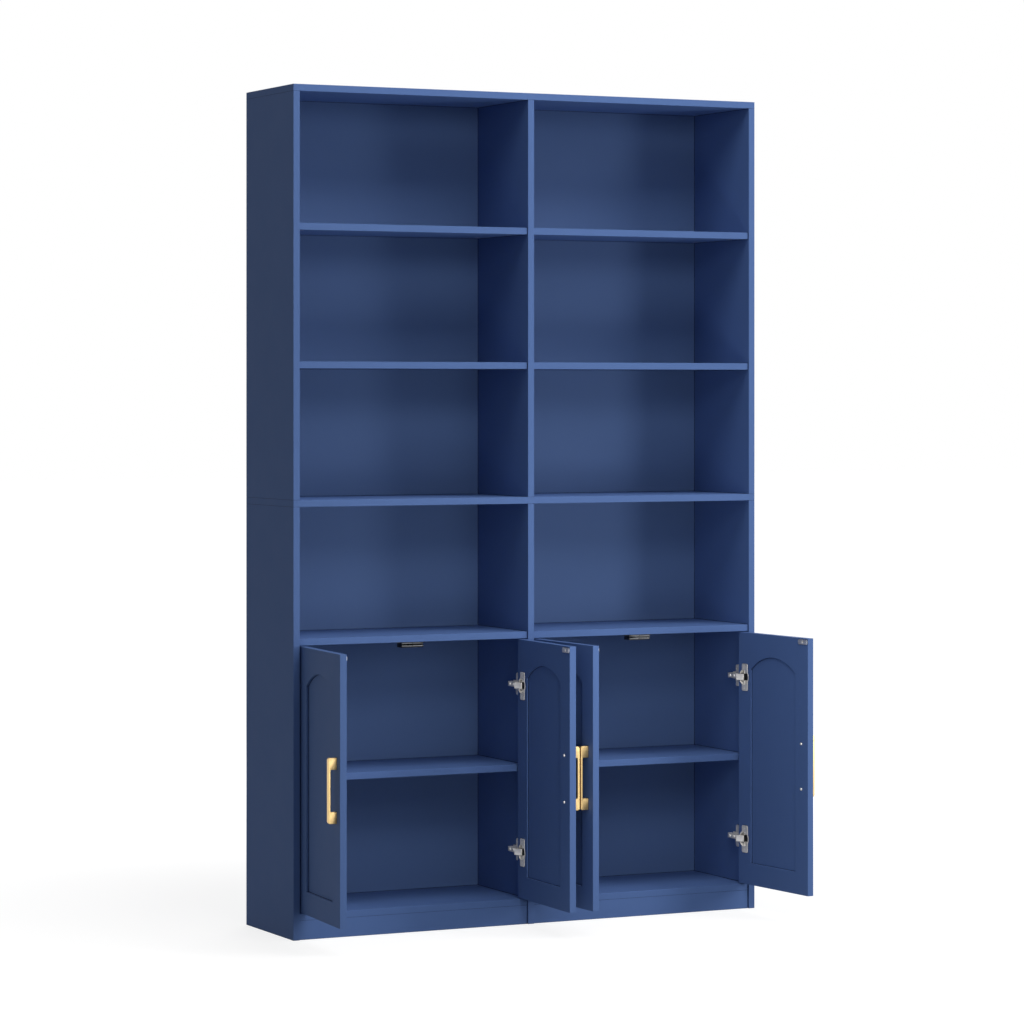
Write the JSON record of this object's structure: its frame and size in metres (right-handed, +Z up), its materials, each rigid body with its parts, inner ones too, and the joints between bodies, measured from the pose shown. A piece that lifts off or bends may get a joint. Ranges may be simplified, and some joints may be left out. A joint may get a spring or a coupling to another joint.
{
  "type": "bookcase with cabinet doors",
  "caption": "Tall painted bookcase: open shelves in two bays above an arched-panel cabinet whose inset doors swing on concealed hinges.",
  "frame": {"origin": "On the floor, in the middle of the case's width and depth (the doors and pulls not counted), on the underside of the lower divider.", "axes": "+Z up, +X to the right seen from the front, the front faces -Y."},
  "size_m": [1.189, 0.529, 1.855],
  "materials": {
    "painted_board": "satin deep-blue paint film on fibreboard",
    "painted_back": "satin deep-blue paint film on thin board",
    "brushed_gold": "brushed gold",
    "nickelled_steel": "nickel plated",
    "zinc_fittings": "zinc plated",
    "black_plastic": "moulded",
    "beech": "plain turned beech"
  },
  "bodies": {
    "case": {"bottom_panel_left": "painted_board", "bottom_panel_right": "painted_board", "cabinet_shelf_left": "painted_board", "cabinet_shelf_right": "painted_board", "cabinet_top_left": "painted_board", "cabinet_top_right": "painted_board", "cam_bolts": "zinc_fittings", "cam_discs": "zinc_fittings", "catch_poles": "nickelled_steel", "catch_screws": "nickelled_steel", "divider_bolts": "zinc_fittings", "hinge_arm_screws": "nickelled_steel", "hinge_arms": "nickelled_steel", "hinge_plate_screws": "nickelled_steel", "hinge_plates": "nickelled_steel", "lower_back_left": "painted_back", "lower_back_right": "painted_back", "lower_divider": "painted_board", "lower_left_side": "painted_board", "lower_right_side": "painted_board", "lower_shelf_left": "painted_board", "lower_shelf_right": "painted_board", "magnetic_catches": "black_plastic", "middle_panel": "painted_board", "panel_screws": "zinc_fittings", "plinth_left": "painted_board", "plinth_right": "painted_board", "top_panel": "painted_board", "upper_back_left": "painted_back", "upper_back_right": "painted_back", "upper_divider": "painted_board", "upper_left_side": "painted_board", "upper_right_side": "painted_board", "upper_shelf_left": "painted_board", "upper_shelf_right": "painted_board", "wooden_dowels": "beech"},
    "door_1": {"door_1_board": "painted_board", "door_1_hinge_cups": "nickelled_steel", "door_1_pull": "brushed_gold", "door_1_screws": "nickelled_steel", "door_1_strike_plate": "nickelled_steel"},
    "door_1_links": {"door_1_hinge_links": "nickelled_steel"},
    "door_2": {"door_2_board": "painted_board", "door_2_hinge_cups": "nickelled_steel", "door_2_pull": "brushed_gold", "door_2_screws": "nickelled_steel", "door_2_strike_plate": "nickelled_steel"},
    "door_2_links": {"door_2_hinge_links": "nickelled_steel"},
    "door_3": {"door_3_board": "painted_board", "door_3_hinge_cups": "nickelled_steel", "door_3_pull": "brushed_gold", "door_3_screws": "nickelled_steel", "door_3_strike_plate": "nickelled_steel"},
    "door_3_links": {"door_3_hinge_links": "nickelled_steel"},
    "door_4": {"door_4_board": "painted_board", "door_4_hinge_cups": "nickelled_steel", "door_4_pull": "brushed_gold", "door_4_screws": "nickelled_steel", "door_4_strike_plate": "nickelled_steel"},
    "door_4_links": {"door_4_hinge_links": "nickelled_steel"}
  },
  "joints": [
    {"name": "door_1_hinge", "type": "hinge", "parent": "case", "child": "door_1", "pos_m": [-0.55, -0.129, 0.3475], "axis": [0, 0, 1], "range_deg": [0, 94.7]},
    {"name": "door_1_link_pivot", "type": "hinge", "parent": "case", "child": "door_1_links", "pos_m": [-0.546, -0.111, 0.3475], "axis": [0, 0, 1], "range_deg": [0, 47.35]},
    {"name": "door_2_hinge", "type": "hinge", "parent": "case", "child": "door_2", "pos_m": [-0.0175, -0.129, 0.3475], "axis": [0, 0, -1], "range_deg": [0, 88]},
    {"name": "door_2_link_pivot", "type": "hinge", "parent": "case", "child": "door_2_links", "pos_m": [-0.0215, -0.111, 0.3475], "axis": [0, 0, -1], "range_deg": [0, 44]},
    {"name": "door_3_hinge", "type": "hinge", "parent": "case", "child": "door_3", "pos_m": [0.0175, -0.129, 0.3475], "axis": [0, 0, 1], "range_deg": [0, 88]},
    {"name": "door_3_link_pivot", "type": "hinge", "parent": "case", "child": "door_3_links", "pos_m": [0.0215, -0.111, 0.3475], "axis": [0, 0, 1], "range_deg": [0, 44]},
    {"name": "door_4_hinge", "type": "hinge", "parent": "case", "child": "door_4", "pos_m": [0.55, -0.129, 0.3475], "axis": [0, 0, -1], "range_deg": [0, 94.7]},
    {"name": "door_4_link_pivot", "type": "hinge", "parent": "case", "child": "door_4_links", "pos_m": [0.546, -0.111, 0.3475], "axis": [0, 0, -1], "range_deg": [0, 47.35]}
  ],
  "couplings": [
    {"joint": "door_1_link_pivot", "follows": "door_1_hinge", "ratio": 0.5},
    {"joint": "door_2_link_pivot", "follows": "door_2_hinge", "ratio": 0.5},
    {"joint": "door_3_link_pivot", "follows": "door_3_hinge", "ratio": 0.5},
    {"joint": "door_4_link_pivot", "follows": "door_4_hinge", "ratio": 0.5}
  ]
}
